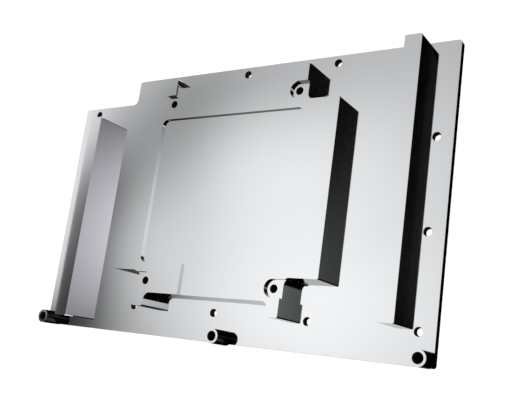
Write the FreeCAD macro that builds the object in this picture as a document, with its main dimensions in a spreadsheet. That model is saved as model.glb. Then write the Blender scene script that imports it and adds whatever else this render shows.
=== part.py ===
import FreeCAD, Part
import os
import re
import Sketcher

# Cold plate of a graphics card water block: one machined, nickel plated copper plate.
# It lies on its wet side, +Z out of the side that faces the card, +X along its length.
# The origin is the middle of its footprint, on the face that it lies on.

os.makedirs("parts", exist_ok=True)
doc = FreeCAD.newDocument("cold_plate_document")
V = FreeCAD.Vector

# Driving dimensions, all in mm. Positions are measured from the plate's lower left corner,
# and every raised level is measured from the plate's front face.
driving = {
    "plate_length": 168.0,
    "plate_width": 104.5,
    "plate_thickness": 2.7,
    "notch_length": 29.8,
    "notch_depth": 10.1,
    "plate_corner": 1.0,
    "cutter_radius": 2.5,
    "broken_edge": 0.5,
    "rail_width": 5.9,
    "rail_rise": 7.9,
    "left_rail_start": 12.3,
    "left_rail_bottom": 3.5,
    "left_rail_length": 83.6,
    "right_rail_margin": 10.4,
    "right_rail_bottom": 11.5,
    "block_middle_x": 84.9,
    "block_middle_y": 54.75,
    "wings_length": 90.6,
    "wings_width": 62.6,
    "tongue_bottom": 15.2,
    "tongue_top": 95.7,
    "post_span": 64.1,
    "post_width": 4.65,
    "post_bottom": 10.0,
    "post_top": 99.8,
    "post_rise": 7.8,
    "plateau_rise": 7.4,
    "recess_depth": 0.9,
    "recess_bottom": 26.45,
    "recess_top": 83.2,
    "recess_outlet": 20.45,
    "seat_rise": 6.2,
    "seat_radius": 3.2,
    "seat_spacing_x": 57.2,
    "seat_spacing_y": 70.1,
    "seat_middle_x": 84.7,
    "seat_middle_y": 54.75,
    "screw_hole": 3.0,
    "screw_depth": 5.0,
    "standoff_radius": 2.6,
    "standoff_bore": 3.0,
    "standoff_depth": 6.0,
    "standoff_lead_in": 0.3,
    "standoff_left_x": 3.3,
    "standoff_middle_x": 90.5,
    "standoff_right_margin": 2.7,
    "standoff_end_y": 2.4,
    "standoff_middle_y": 2.0,
    "cover_left_margin": 8.05,
    "cover_right_margin": 5.55,
    "cover_first_y": 10.4,
    "cover_pitch_y": 30.85,
    "cover_top_margin": 2.8,
    "coolant_length": 76.0,
    "coolant_width": 45.0,
    "coolant_depth": 5.0,
    "header_length": 8.0,
    "channel_width": 1.0,
    "channel_pitch": 2.0,
}
sizes = doc.addObject("Spreadsheet::Sheet", "Sizes")
for row, (name, number) in enumerate(driving.items(), start=1):
    sizes.set(f"A{row}", name)
    sizes.set(f"B{row}", str(number))
    sizes.setAlias(f"B{row}", name)
doc.recompute()

body = doc.addObject("PartDesign::Body", "cold_plate")
body.Label = "cold_plate"
ground = next(plane for plane in body.Origin.OriginFeatures if plane.Role == "XY_Plane")


def bound(formula):
    """A formula in sheet names, as an expression that reads the sheet."""
    return re.sub(r"\b[a-z]\w*\b(?!\()", lambda word: "Sizes." + word.group(), formula)


def value(formula):
    """What a formula comes to now."""
    return float(sizes.evalExpression(formula))


def sketch_at(name, level="0"):
    """An empty sketch, parallel to the plate, at a level above the wet face."""
    sketch = body.newObject("Sketcher::SketchObject", name)
    sketch.AttachmentSupport = [(ground, "")]
    sketch.MapMode = "FlatFace"
    sketch.setExpression("AttachmentOffset.Base.z", bound(level))
    return sketch


def hold(sketch, line, end, x, y):
    """Holds a point of the sketch at x and y."""
    for kind, axis, formula in (("DistanceX", -2, x), ("DistanceY", -1, y)):
        if formula == "0":
            sketch.addConstraint(Sketcher.Constraint("PointOnObject", line, end, axis))
            continue
        held = Sketcher.Constraint(kind, -1, 1, line, end, value(formula))
        index = sketch.addConstraint(held)
        sketch.setExpression(f"Constraints[{index}]", bound(formula))


def add_polygon(sketch, corners):
    """Straight edges through the corners and back to the first."""
    first = sketch.GeometryCount
    points = [V(value(x), value(y), 0) for x, y in corners]
    for start, end in zip(points, points[1:] + points[:1]):
        sketch.addGeometry(Part.LineSegment(start, end), False)
    for step, (x, y) in enumerate(corners):
        before = first + (step - 1) % len(corners)
        sketch.addConstraint(Sketcher.Constraint("Coincident", before, 2, first + step, 1))
        hold(sketch, first + step, 1, x, y)


def add_rectangle(sketch, left, bottom, right, top):
    add_polygon(sketch, [(left, bottom), (right, bottom), (right, top), (left, top)])


def add_circle(sketch, x, y, radius):
    circle = Part.Circle(V(value(x), value(y), 0), V(0, 0, 1), value(radius))
    line = sketch.addGeometry(circle, False)
    hold(sketch, line, 3, x, y)
    index = sketch.addConstraint(Sketcher.Constraint("Radius", line, value(radius)))
    sketch.setExpression(f"Constraints[{index}]", bound(radius))


def pad(name, sketch, height):
    """Adds the sketch's area up to a height above it."""
    feature = body.newObject("PartDesign::Pad", name)
    feature.Profile = sketch
    feature.setExpression("Length", bound(height))
    doc.recompute()
    return feature


def cut(name, sketch, depth=None, upwards=False):
    """Takes the sketch's area out, to a depth or right through, and sees that it did."""
    before = body.Shape.Volume
    feature = body.newObject("PartDesign::Pocket", name)
    feature.Profile = sketch
    feature.Reversed = upwards
    if depth is None:
        feature.Type = "ThroughAll"
    else:
        feature.Type = "Length"
        feature.setExpression("Length", bound(depth))
    doc.recompute()
    if body.Shape.Volume >= before - 0.01:
        raise RuntimeError(f"{name} takes nothing away")
    return feature


def round_corners(name, base, corners, radius):
    """Rounds the upright edges of the last feature that stand at the given corners."""
    points = [(value(x), value(y)) for x, y in corners]
    chosen = []
    for number, edge in enumerate(base.Shape.Edges, start=1):
        ends = [vertex.Point for vertex in edge.Vertexes]
        if len(ends) != 2 or abs(ends[0].x - ends[1].x) + abs(ends[0].y - ends[1].y) > 1e-6:
            continue
        if any(abs(ends[0].x - x) + abs(ends[0].y - y) < 1e-4 for x, y in points):
            chosen.append(f"Edge{number}")
    feature = body.newObject("PartDesign::Fillet", name)
    feature.Base = (base, chosen)
    feature.setExpression("Radius", bound(radius))
    doc.recompute()
    return feature


# Base plate
# A rectangle with one corner stepped back where the card's connectors stand.
notch_y = "plate_width - notch_depth"
plate_outside = [
    ("0", "0"),
    ("plate_length", "0"),
    ("plate_length", "plate_width"),
    ("notch_length", "plate_width"),
    ("0", notch_y),
]
plate_sketch = sketch_at("plate_outline")
add_polygon(plate_sketch, plate_outside[:4] + [("notch_length", notch_y), plate_outside[4]])
plate = pad("plate", plate_sketch, "plate_thickness")
plate = round_corners("plate_corners", plate, plate_outside, "plate_corner")
plate = round_corners("notch_corner", plate, [("notch_length", notch_y)], "cutter_radius")

# Rails
# Two tall bars along the short sides, over the card's regulators. The right one runs out
# to the plate's top edge.
rails_sketch = sketch_at("rails_outline")
right_rail_end = "plate_length - right_rail_margin"
left_rail = [
    "left_rail_start",
    "left_rail_bottom",
    "left_rail_start + rail_width",
    "left_rail_bottom + left_rail_length",
]
right_rail = [right_rail_end + " - rail_width", "right_rail_bottom", right_rail_end, "plate_width"]
rail_corners = []
for left, bottom, right, top in (left_rail, right_rail):
    add_rectangle(rails_sketch, left, bottom, right, top)
    rail_corners += [(left, bottom), (right, bottom), (right, top), (left, top)]
rails = pad("rails", rails_sketch, "plate_thickness + rail_rise")
rails = round_corners("rail_corners", rails, rail_corners, "broken_edge")

# Centre block
# Two wings and a tongue between them, with a narrow post at each corner of the tongue.
wing_left = "block_middle_x - wings_length / 2"
wing_right = "block_middle_x + wings_length / 2"
wing_bottom = "block_middle_y - wings_width / 2"
wing_top = "block_middle_y + wings_width / 2"
post_left = "block_middle_x - post_span / 2"
post_right = "block_middle_x + post_span / 2"
tongue_left = post_left + " + post_width"
tongue_right = post_right + " - post_width"
block_outline = [
    (wing_left, wing_bottom),
    (post_left, wing_bottom),
    (post_left, "post_bottom"),
    (tongue_left, "post_bottom"),
    (tongue_left, "tongue_bottom"),
    (tongue_right, "tongue_bottom"),
    (tongue_right, "post_bottom"),
    (post_right, "post_bottom"),
    (post_right, wing_bottom),
    (wing_right, wing_bottom),
    (wing_right, wing_top),
    (post_right, wing_top),
    (post_right, "post_top"),
    (tongue_right, "post_top"),
    (tongue_right, "tongue_top"),
    (tongue_left, "tongue_top"),
    (tongue_left, "post_top"),
    (post_left, "post_top"),
    (post_left, wing_top),
    (wing_left, wing_top),
]
inner_corners = [
    (x, y)
    for x, y in block_outline
    if (x in (post_left, post_right) and y in (wing_bottom, wing_top))
    or (x in (tongue_left, tongue_right) and y in ("tongue_bottom", "tongue_top"))
]
outer_corners = [corner for corner in block_outline if corner not in inner_corners]
block_sketch = sketch_at("block_outline")
add_polygon(block_sketch, block_outline)
block = pad("block", block_sketch, "plate_thickness + post_rise")
block = round_corners("cutter_corners", block, inner_corners, "cutter_radius")
block = round_corners("block_corners", block, outer_corners, "broken_edge")

# Standoffs
# Three tubes on the long edge. They reach past the plate's edge as small lobes.
standoffs = [
    ("standoff_left_x", "standoff_end_y"),
    ("standoff_middle_x", "standoff_middle_y"),
    ("plate_length - standoff_right_margin", "standoff_end_y"),
]
standoff_sketch = sketch_at("standoff_outline")
for x, y in standoffs:
    add_circle(standoff_sketch, x, y, "standoff_radius")
pad("standoffs", standoff_sketch, "plate_thickness + seat_rise")

# Plateau
# All of the block but the four post ends is milled down to the plateau's level.
seat_bottom = "seat_middle_y - seat_spacing_y / 2"
seat_top = "seat_middle_y + seat_spacing_y / 2"
low_ends = seat_bottom + " - seat_radius"
high_ends = seat_top + " + seat_radius"
beyond_left = wing_left + " - cutter_radius"
beyond_right = wing_right + " + cutter_radius"
plateau_sketch = sketch_at("plateau_outline", "plate_thickness + plateau_rise")
add_polygon(plateau_sketch, [
    (beyond_left, low_ends),
    (tongue_left, low_ends),
    (tongue_left, "post_bottom - broken_edge"),
    (tongue_right, "post_bottom - broken_edge"),
    (tongue_right, low_ends),
    (beyond_right, low_ends),
    (beyond_right, high_ends),
    (tongue_right, high_ends),
    (tongue_right, "post_top + broken_edge"),
    (tongue_left, "post_top + broken_edge"),
    (tongue_left, high_ends),
    (beyond_left, high_ends),
])
cut("plateau", plateau_sketch, upwards=True)

# Chip recess
# A shallow bed between the posts, with a wide way out through the tongue's lower edge.
recess_floor = "plate_thickness + plateau_rise - recess_depth"
outlet_left = post_left + " + recess_outlet"
outlet_right = post_right + " - recess_outlet"
recess_sketch = sketch_at("recess_outline", recess_floor)
recess_outline = [
    (post_left, "recess_bottom"),
    (outlet_left, "recess_bottom"),
    (outlet_left, "tongue_bottom - broken_edge"),
    (outlet_right, "tongue_bottom - broken_edge"),
    (outlet_right, "recess_bottom"),
    (post_right, "recess_bottom"),
    (post_right, "recess_top"),
    (post_left, "recess_top"),
]
add_polygon(recess_sketch, recess_outline)
recess = cut("recess", recess_sketch, upwards=True)
recess_corners = [recess_outline[0], recess_outline[5], recess_outline[6], recess_outline[7]]
round_corners("recess_corners", recess, recess_corners, "cutter_radius")

# Screw seats
# A round seat across each post, milled out through the post's outer side, with a tapped
# hole in its floor.
seat_left = "seat_middle_x - seat_spacing_x / 2"
seat_right = "seat_middle_x + seat_spacing_x / 2"
seats = [
    (seat_left, seat_bottom, post_left + " - 2 * cutter_radius", seat_left),
    (seat_right, seat_bottom, seat_right, post_right + " + 2 * cutter_radius"),
    (seat_left, seat_top, post_left + " - 2 * cutter_radius", seat_left),
    (seat_right, seat_top, seat_right, post_right + " + 2 * cutter_radius"),
]
seat_level = "plate_thickness + seat_rise"
round_sketch = sketch_at("seat_rounds_outline", seat_level)
way_sketch = sketch_at("seat_ways_outline", seat_level)
tapped_sketch = sketch_at("tapped_holes_outline", seat_level)
for x, y, start, end in seats:
    add_circle(round_sketch, x, y, "seat_radius")
    add_rectangle(way_sketch, start, y + " - seat_radius", end, y + " + seat_radius")
    add_circle(tapped_sketch, x, y, "screw_hole / 2")
cut("seat_rounds", round_sketch, upwards=True)
cut("seat_ways", way_sketch, upwards=True)
cut("tapped_holes", tapped_sketch, "screw_depth")

# Standoff bores
# Tapped blind from the end, with a small lead-in at the mouth.
bore_sketch = sketch_at("standoff_bores_outline", seat_level)
for x, y in standoffs:
    add_circle(bore_sketch, x, y, "standoff_bore / 2")
bores = cut("standoff_bores", bore_sketch, "standoff_depth")
mouths = []
for number, edge in enumerate(bores.Shape.Edges, start=1):
    middle = getattr(edge.Curve, "Center", None)
    if middle is None or abs(edge.Curve.Radius - value("standoff_bore / 2")) > 1e-6:
        continue
    for x, y in standoffs:
        if middle.distanceToPoint(V(value(x), value(y), value(seat_level))) < 1e-6:
            mouths.append(f"Edge{number}")
lead_in = body.newObject("PartDesign::Chamfer", "standoff_lead_ins")
lead_in.Base = (bores, mouths)
lead_in.setExpression("Size", bound("standoff_lead_in"))
doc.recompute()

# Cover screw holes
# Drilled right through, round the edge of the plate, for the screws that pull the cover on.
cover_pitch_x = "(plate_length - cover_left_margin - cover_right_margin) / 4"
cover_columns = [f"cover_left_margin + {step} * {cover_pitch_x}" for step in range(5)]
cover_rows = [f"cover_first_y + {step} * cover_pitch_y" for step in range(3)]
cover_holes = [(x, cover_rows[0]) for x in cover_columns]
cover_holes += [(x, y) for x in (cover_columns[0], cover_columns[4]) for y in cover_rows[1:]]
cover_holes += [(x, "plate_width - cover_top_margin") for x in cover_columns[2:4]]
cover_holes += [(cover_columns[0], notch_y + " - cover_top_margin")]
cover_sketch = sketch_at("cover_holes_outline")
for x, y in cover_holes:
    add_circle(cover_sketch, x, y, "screw_hole / 2")
cut("cover_holes", cover_sketch, upwards=True)

# Wet side
# Two headers with a field of straight channels between them, milled into the back of the
# centre block. The coolant crosses the field from one header to the other.
coolant_left = "block_middle_x - coolant_length / 2"
coolant_right = "block_middle_x + coolant_length / 2"
coolant_bottom = "block_middle_y - coolant_width / 2"
coolant_top = "block_middle_y + coolant_width / 2"
header_sketch = sketch_at("headers_outline")
headers = [
    (coolant_left, coolant_left + " + header_length"),
    (coolant_right + " - header_length", coolant_right),
]
header_corners = []
for left, right in headers:
    add_rectangle(header_sketch, left, coolant_bottom, right, coolant_top)
    header_corners += [(x, y) for x in (left, right) for y in (coolant_bottom, coolant_top)]
header_cut = cut("headers", header_sketch, "coolant_depth", upwards=True)
round_corners("header_corners", header_cut, header_corners, "cutter_radius")
channel_bottom = coolant_bottom + " + cutter_radius"
channel_sketch = sketch_at("channel_outline")
add_rectangle(
    channel_sketch,
    coolant_left + " + header_length / 2",
    channel_bottom,
    coolant_right + " - header_length / 2",
    channel_bottom + " + channel_width",
)
channel = cut("channel", channel_sketch, "coolant_depth", upwards=True)
field = body.newObject("PartDesign::LinearPattern", "channels")
field.Originals = [channel]
field.Direction = (channel_sketch, ["V_Axis"])
field_width = "coolant_width - 2 * cutter_radius - channel_width"
field.setExpression("Length", bound(field_width))
field.setExpression("Occurrences", bound(f"floor(({field_width}) / channel_pitch + 0.001) + 1"))
body.Tip = field
doc.recompute()

# The origin is moved to the middle of the footprint, the middle standoff's lobe included.
lobe_end = "standoff_middle_y - standoff_radius"
body.setExpression("Placement.Base.x", bound("-plate_length / 2"))
body.setExpression("Placement.Base.y", bound(f"-(plate_width + {lobe_end}) / 2"))
doc.recompute()

for item in doc.Objects:
    if "Invalid" in item.State or "Error" in item.State:
        raise RuntimeError(f"{item.Name} failed: {item.State}")
if body.Shape.isNull() or not body.Shape.isValid() or len(body.Shape.Solids) != 1:
    raise RuntimeError("the cold plate is not one sound solid")
body.Shape.exportStep("parts/" + body.Label + ".step")
box = body.Shape.BoundBox
print(f"cold_plate {box.XLength:.3f} x {box.YLength:.3f} x {box.ZLength:.3f} mm")
print(f"volume {body.Shape.Volume:.1f} mm3")
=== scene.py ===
import math

import bmesh
import bpy
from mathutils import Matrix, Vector


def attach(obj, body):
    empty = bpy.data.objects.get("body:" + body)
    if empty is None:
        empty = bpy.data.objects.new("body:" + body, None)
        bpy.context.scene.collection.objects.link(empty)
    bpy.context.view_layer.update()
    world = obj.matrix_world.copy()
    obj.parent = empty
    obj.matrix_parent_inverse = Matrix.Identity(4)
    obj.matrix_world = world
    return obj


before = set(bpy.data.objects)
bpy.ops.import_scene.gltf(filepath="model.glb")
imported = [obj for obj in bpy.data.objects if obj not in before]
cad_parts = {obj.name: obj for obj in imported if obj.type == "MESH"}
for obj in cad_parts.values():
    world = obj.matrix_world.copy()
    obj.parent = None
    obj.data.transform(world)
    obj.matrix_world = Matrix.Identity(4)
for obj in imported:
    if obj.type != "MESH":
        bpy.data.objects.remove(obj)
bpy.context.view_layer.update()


# The cold plate.
# One milled slab, read from its look as copper with nickel plating, close to a mirror. The solid
# from the CAD stays as it is and only gets its finishes here.

def new_material(name):
    """An empty node material with its surface shader and its two ends."""
    material = bpy.data.materials.new(name)
    material.use_nodes = True
    nodes, links = material.node_tree.nodes, material.node_tree.links
    shader = nodes["Principled BSDF"]
    return material, nodes, links, shader


def varied(nodes, links, where, scale, detail, low, high):
    """A noise over the metal that wanders between two values."""
    noise = nodes.new("ShaderNodeTexNoise")
    noise.inputs["Scale"].default_value = scale
    noise.inputs["Detail"].default_value = detail
    links.new(where, noise.inputs["Vector"])
    spread = nodes.new("ShaderNodeMapRange")
    spread.inputs["From Min"].default_value = 0.3
    spread.inputs["From Max"].default_value = 0.7
    spread.inputs["To Min"].default_value = low
    spread.inputs["To Max"].default_value = high
    links.new(noise.outputs["Fac"], spread.inputs["Value"])
    return spread.outputs["Result"]


def ramp(nodes, links, value, start, end):
    """0 where the value is at or below the start, 1 at or beyond the end, straight between."""
    spread = nodes.new("ShaderNodeMapRange")
    spread.inputs["From Min"].default_value = start
    spread.inputs["From Max"].default_value = end
    links.new(value, spread.inputs["Value"])
    return spread.outputs["Result"]


def both(nodes, links, first, second):
    """The product of two values."""
    product = nodes.new("ShaderNodeMath")
    product.operation = "MULTIPLY"
    links.new(first, product.inputs[0])
    links.new(second, product.inputs[1])
    return product.outputs["Value"]


nickel, nodes, links, shader = new_material("bright_nickel")
shader.inputs["Metallic"].default_value = 1.0
place = nodes.new("ShaderNodeTexCoord").outputs["Object"]
tone = nodes.new("ShaderNodeMix")
tone.data_type = "RGBA"
tone.inputs["A"].default_value = (0.848, 0.866, 0.882, 1)
tone.inputs["B"].default_value = (0.866, 0.880, 0.892, 1)
links.new(varied(nodes, links, place, 60.0, 3.0, 0.0, 1.0), tone.inputs["Factor"])
links.new(tone.outputs["Result"], shader.inputs["Base Color"])

# A stand-in: the far end of a wall that faces right mirrors what lies past the plate's upper edge.
# That is dark in the photograph and is the white table here, so a painted dark reflection is put on
# the wall there: a near-black metal mixed in by position. The limit leans, as the line of sight
# from the photograph's camera does.
upper_edge = 52.55e-3
plate_top = 2.7e-3
sight_slope = 0.54              # how far the sight line runs in y for each unit it drops
edge_reach = upper_edge + sight_slope * plate_top
position = nodes.new("ShaderNodeSeparateXYZ")
links.new(place, position.inputs["Vector"])
facing = nodes.new("ShaderNodeSeparateXYZ")
links.new(nodes.new("ShaderNodeNewGeometry").outputs["Normal"], facing.inputs["Vector"])
reach = nodes.new("ShaderNodeMath")
reach.operation = "MULTIPLY_ADD"
links.new(position.outputs["Z"], reach.inputs[0])
reach.inputs[1].default_value = sight_slope
links.new(position.outputs["Y"], reach.inputs[2])
rail_end_painted_reflection = both(
    nodes, links,
    ramp(nodes, links, reach.outputs["Value"], edge_reach - 0.11e-3, edge_reach + 0.04e-3),
    ramp(nodes, links, facing.outputs["X"], 0.5, 0.7),
)
# The near-black metal of the painted dark reflection on the rail's end.
shade = nodes.new("ShaderNodeBsdfPrincipled")
shade.inputs["Metallic"].default_value = 1.0
shade.inputs["Base Color"].default_value = (0.022, 0.022, 0.023, 1)
shade.inputs["Roughness"].default_value = 0.15
shade.inputs["Specular Tint"].default_value = (0.05, 0.05, 0.05, 1)
nickel_and_painted_reflection = nodes.new("ShaderNodeMixShader")
links.new(rail_end_painted_reflection, nickel_and_painted_reflection.inputs["Fac"])
links.new(shader.outputs["BSDF"], nickel_and_painted_reflection.inputs[1])
links.new(shade.outputs["BSDF"], nickel_and_painted_reflection.inputs[2])
links.new(nickel_and_painted_reflection.outputs["Shader"], nodes["Material Output"].inputs["Surface"])

# The plate's low field is a little rougher than the rest, since the images of the walls in it have
# soft edges in the photograph. The strip left of the left rail isn't.
field = both(
    nodes, links,
    ramp(nodes, links, position.outputs["Z"], 2.80e-3, 2.75e-3),
    ramp(nodes, links, position.outputs["X"], -60e-3, -48e-3),
)
rough = nodes.new("ShaderNodeMix")
links.new(field, rough.inputs["Factor"])
links.new(varied(nodes, links, place, 140.0, 4.0, 0.018, 0.028), rough.inputs["A"])
links.new(varied(nodes, links, place, 90.0, 4.0, 0.05, 0.07), rough.inputs["B"])
links.new(rough.outputs["Result"], shader.inputs["Roughness"])

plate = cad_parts["cold_plate"]
plate.data.materials.clear()
plate.data.materials.append(nickel)

# A stand-in: the outline and the standoffs' round sides mirror something dark in the photograph and
# the white table here, so a painted dark reflection is put on them as a near-black, slightly rough
# metal. A plated part has none.
painted_dark_metal, nodes, links, shader = new_material("nickel_painted_dark_reflection")
shader.inputs["Metallic"].default_value = 1.0
shader.inputs["Specular Tint"].default_value = (0.05, 0.05, 0.05, 1)
place = nodes.new("ShaderNodeTexCoord").outputs["Object"]
# Near-black tones: a painted dark reflection, not the plating's own colour.
tone = nodes.new("ShaderNodeMix")
tone.data_type = "RGBA"
tone.inputs["A"].default_value = (0.030, 0.030, 0.031, 1)
tone.inputs["B"].default_value = (0.050, 0.050, 0.052, 1)
links.new(varied(nodes, links, place, 300.0, 3.0, 0.0, 1.0), tone.inputs["Factor"])
links.new(tone.outputs["Result"], shader.inputs["Base Color"])
links.new(varied(nodes, links, place, 400.0, 3.0, 0.14, 0.20), shader.inputs["Roughness"])
plate.data.materials.append(painted_dark_metal)
standoffs = ((-80.7, -49.55), (6.5, -49.95), (81.3, -49.55))       # these and the next in mm
outline_top = 2.75
standoff_reach = 2.65
upright = 0.1
for face in plate.data.polygons:
    corners = [plate.data.vertices[corner].co * 1000 for corner in face.vertices]
    if abs(face.normal.z) > upright:
        continue
    if max(corner.z for corner in corners) < outline_top:
        face.material_index = 1
    for x, y in standoffs:
        if all(math.hypot(corner.x - x, corner.y - y) < standoff_reach for corner in corners):
            face.material_index = 1


# The screw threads.
# The holes are taken to be tapped M3: the four seats, the three standoffs and the twelve holes for
# the cover. The photograph is too coarse to show it. The ridges stand about half as proud as a real
# thread's, which would close the holes more than the photograph shows. They are a near-black, rough
# metal, painted shade for the dark insides of the holes.

thread_pitch = 0.5e-3
bore_radius = 1.5e-3
crest_radius = 1.37e-3
turn_steps = 24
tapped_holes = []                       # x, y, mouth and bottom of each, in metres
for x, y in ((-27.9, -32.25), (29.3, -32.25), (-27.9, 37.85), (29.3, 37.85)):
    tapped_holes.append((x, y, 8.9, 3.9))
for x, y in standoffs:
    tapped_holes.append((x, y, 8.6, 2.9))
for x, y in (
    (-75.95, -41.55), (-37.35, -41.55), (1.25, -41.55), (39.85, -41.55), (78.45, -41.55),
    (-75.95, -10.7), (78.45, -10.7), (-75.95, 20.15), (78.45, 20.15),
    (1.25, 49.75), (39.85, 49.75), (-75.95, 39.65),
):
    tapped_holes.append((x, y, 2.7, 0.0))


def cut_thread(mesh, x, y, mouth, bottom):
    """One helical ridge inside a bore, from just under its mouth to just above its end."""
    height = mouth - bottom - thread_pitch
    steps = int(height / thread_pitch * turn_steps)
    rings = []
    for step in range(steps + 1):
        angle = 2 * math.pi * step / turn_steps
        level = mouth - thread_pitch / 2 - step * thread_pitch / turn_steps
        ring = []
        for radius, rise in (
            (bore_radius + 0.03e-3, 0.44), (crest_radius, 0.08),
            (crest_radius, -0.08), (bore_radius + 0.03e-3, -0.44),
        ):
            ring.append(mesh.verts.new((
                x + radius * math.cos(angle), y + radius * math.sin(angle),
                level + rise * thread_pitch,
            )))
        rings.append(ring)
    for first, second in zip(rings, rings[1:]):
        for side in range(4):
            after = (side + 1) % 4
            mesh.faces.new((first[side], first[after], second[after], second[side]))
    mesh.faces.new(rings[0][::-1])
    mesh.faces.new(rings[-1])


mesh = bmesh.new()
for x, y, mouth, bottom in tapped_holes:
    cut_thread(mesh, x / 1000, y / 1000, mouth / 1000, bottom / 1000)
bmesh.ops.recalc_face_normals(mesh, faces=mesh.faces)
threads_mesh = bpy.data.meshes.new("screw_threads")
mesh.to_mesh(threads_mesh)
mesh.free()
threads = bpy.data.objects.new("screw_threads", threads_mesh)
bpy.context.scene.collection.objects.link(threads)

thread_painted_shade_metal, nodes, links, shader = new_material("thread_metal_painted_shade")
shader.inputs["Metallic"].default_value = 1.0
shader.inputs["Specular Tint"].default_value = (0.1, 0.1, 0.1, 1)
place = nodes.new("ShaderNodeTexCoord").outputs["Object"]
# Near-black tones: painted shade for the holes' dark insides.
tone = nodes.new("ShaderNodeMix")
tone.data_type = "RGBA"
tone.inputs["A"].default_value = (0.018, 0.018, 0.019, 1)
tone.inputs["B"].default_value = (0.035, 0.035, 0.036, 1)
links.new(varied(nodes, links, place, 900.0, 2.0, 0.0, 1.0), tone.inputs["Factor"])
links.new(tone.outputs["Result"], shader.inputs["Base Color"])
links.new(varied(nodes, links, place, 700.0, 2.0, 0.32, 0.45), shader.inputs["Roughness"])
threads_mesh.materials.append(thread_painted_shade_metal)
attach(threads, "root")

# The walls of the bores behind the threads get the same near-black metal, the same painted shade.
bore_reach = 1.85               # in mm, as is the lead-in
lead_in = 0.2
plate.data.materials.append(thread_painted_shade_metal)
for face in plate.data.polygons:
    corners = [plate.data.vertices[corner].co * 1000 for corner in face.vertices]
    for x, y, mouth, bottom in tapped_holes:
        if all(math.hypot(corner.x - x, corner.y - y) < bore_reach for corner in corners):
            if min(corner.z for corner in corners) < mouth + lead_in:
                face.material_index = 2


# The table.
# A plain white studio floor, a flat round sheet that runs out to the horizon.

mesh = bmesh.new()
sides = 96
rows = []
for radius in (0.6, 3.0, 15.0, 60.0):
    row = []
    for side in range(sides):
        angle = 2 * math.pi * side / sides
        row.append(mesh.verts.new((radius * math.cos(angle), radius * math.sin(angle), 0.0)))
    rows.append(row)
mesh.faces.new(rows[0])
for inner, outer in zip(rows, rows[1:]):
    for side in range(sides):
        after = (side + 1) % sides
        mesh.faces.new((inner[side], outer[side], outer[after], inner[after]))
bmesh.ops.recalc_face_normals(mesh, faces=mesh.faces)
table_mesh = bpy.data.meshes.new("table")
mesh.to_mesh(table_mesh)
mesh.free()
table = bpy.data.objects.new("table", table_mesh)
bpy.context.scene.collection.objects.link(table)
white, nodes, links, shader = new_material("white_table")
shader.inputs["Base Color"].default_value = (0.97, 0.97, 0.97, 1)
shader.inputs["Roughness"].default_value = 1.0
shader.inputs["Specular IOR Level"].default_value = 0.0
table_mesh.materials.append(white)


# The light.
# A room with large soft lights and dark screens round the plate, placed and sized to give the
# polished faces the tones that they have in the photograph, and one lamp that whitens the table.
# Diffuse surfaces get a tenth of the room's light, which keeps the shadows on the table dark.

room = bpy.data.worlds.new("room")
bpy.context.scene.world = room
room.use_nodes = True
nodes, links = room.node_tree.nodes, room.node_tree.links
room_light = nodes["Background"]


def worked(operation, *values):
    """A number worked out from numbers or other nodes' outputs."""
    node = nodes.new("ShaderNodeMath")
    node.operation = operation
    for socket, given in zip(node.inputs, values):
        if isinstance(given, (int, float)):
            socket.default_value = given
        else:
            links.new(given, socket)
    return node.outputs["Value"]


split = nodes.new("ShaderNodeSeparateXYZ")
links.new(nodes.new("ShaderNodeTexCoord").outputs["Generated"], split.inputs["Vector"])
above = worked("MAXIMUM", split.outputs["Z"], 0.02)
across = worked("DIVIDE", split.outputs["X"], above)
along = worked("DIVIDE", split.outputs["Y"], above)


def soft_patch(brightness, x, y, half_x, half_y):
    """A round soft light, or a dark screen where the brightness is negative, seen at x and y
    on a ceiling one unit above the plate."""
    off_x = worked("DIVIDE", worked("SUBTRACT", across, x), half_x)
    off_y = worked("DIVIDE", worked("SUBTRACT", along, y), half_y)
    far = worked("ADD", worked("MULTIPLY", off_x, off_x), worked("MULTIPLY", off_y, off_y))
    return worked("MULTIPLY", worked("EXPONENT", worked("MULTIPLY", far, -1.0)), brightness)


patches = [                     # brightness, x, y, half width and half height of each
    (0.763, -0.642, 0.071, 0.600, 0.223),
    (-1.521, -1.072, 0.224, 0.125, 0.180),
    (2.073, -1.011, 0.500, 0.645, 0.225),
    (-0.397, 0.790, 0.316, 0.195, 0.188),
    (2.577, 0.935, 0.208, 0.219, 0.329),
    (-0.620, -1.058, 0.094, 0.365, 0.980),
    (-0.568, 0.359, -0.456, 0.728, 1.000),
    (-1.471, -0.863, 0.511, 0.463, 0.157),
    (-1.813, 0.951, 0.120, 0.213, 0.579),
    (-0.329, 0.500, 0.810, 0.993, 0.459),
    (1.208, -1.058, 0.205, 0.138, 0.143),
    (-0.352, -0.900, 0.375, 0.132, 0.139),
    (-0.320, -0.892, -0.084, 0.058, 0.055),
    (-0.035, 0.418, 0.241, 0.050, 0.225),
    (-0.679, -0.183, -0.769, 0.323, 0.464),
    (-0.009, 0.460, 0.446, 0.102, 0.094),
]
level = 0.436
for patch in patches:
    level = worked("ADD", soft_patch(*patch), level)
level = worked("MAXIMUM", level, 0.0)
beyond = worked("MULTIPLY", worked("SUBTRACT", -1.1465, across), 400.0)
beyond = worked("MINIMUM", worked("MAXIMUM", beyond, 0.0), 1.0)
faded = worked("MAXIMUM", worked("SUBTRACT", along, 0.028), 0.0)
faded = worked("EXPONENT", worked("DIVIDE", faded, -0.062))
outer = worked("MULTIPLY", worked("SUBTRACT", 1.03, faded), 0.82)
level = worked("ADD", level, worked("MULTIPLY", beyond, worked("SUBTRACT", outer, level)))
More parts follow.
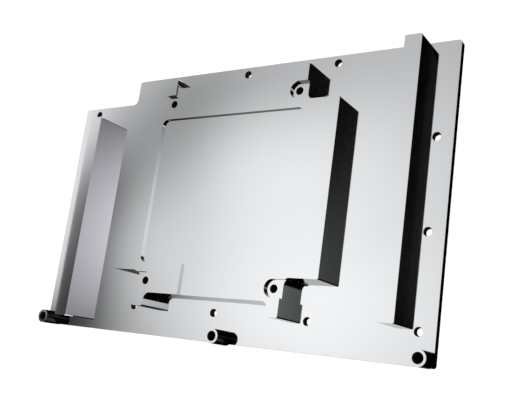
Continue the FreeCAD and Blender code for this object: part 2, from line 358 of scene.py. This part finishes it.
# Low down, the walls of the room are as white as the table, for the camera and the metal alike.
horizon = worked("MULTIPLY", worked("SUBTRACT", 0.28, split.outputs["Z"]), 16.0)
horizon = worked("MINIMUM", worked("MAXIMUM", horizon, 0.0), 1.0)
level = worked("ADD", level, worked("MULTIPLY", horizon, worked("SUBTRACT", 1.0, level)))
ray = nodes.new("ShaderNodeLightPath")
held_back = 0.9
share = worked("SUBTRACT", 1.0, worked("MULTIPLY", ray.outputs["Is Diffuse Ray"], held_back))
tint = nodes.new("ShaderNodeMix")
tint.data_type = "RGBA"
tint.inputs["A"].default_value = (1.0, 1.0, 1.0, 1)
tint.inputs["B"].default_value = (1.0, 0.95, 1.01, 1)
rightward = worked("MULTIPLY", worked("SUBTRACT", across, 0.98), 12.0)
rightward = worked("MINIMUM", worked("MAXIMUM", rightward, 0.0), 1.0)
links.new(worked("MULTIPLY", rightward, worked("SUBTRACT", 1.0, horizon)), tint.inputs["Factor"])
links.new(tint.outputs["Result"], room_light.inputs["Color"])
links.new(worked("MULTIPLY", level, share), room_light.inputs["Strength"])

lamp = bpy.data.lights.new("broad_lamp", "SUN")
lamp.energy = 3.4
lamp.angle = math.radians(4)
lamp_place = bpy.data.objects.new("broad_lamp", lamp)
bpy.context.scene.collection.objects.link(lamp_place)
lamp_from = Vector((0.10, -0.10, 1.0))
lamp_place.rotation_euler = lamp_from.to_track_quat("Z", "Y").to_euler()
lamp_place.visible_glossy = False


# The camera.
# It looks down on the plate from its right, at the photograph's angle.

camera_data = bpy.data.cameras.new("camera")
camera_data.sensor_width = 36.0
camera_data.lens = 50.34
camera_data.shift_x = -0.0081
camera_data.shift_y = 0.0447
camera_data.clip_start = 0.01
camera = bpy.data.objects.new("camera", camera_data)
bpy.context.scene.collection.objects.link(camera)
camera.location = (0.15939, -0.05785, 0.21211)
camera.rotation_euler = [math.radians(turn) for turn in (15.782, 32.235, 9.055)]
bpy.context.scene.camera = camera
bpy.context.scene.view_settings.view_transform = "Standard"
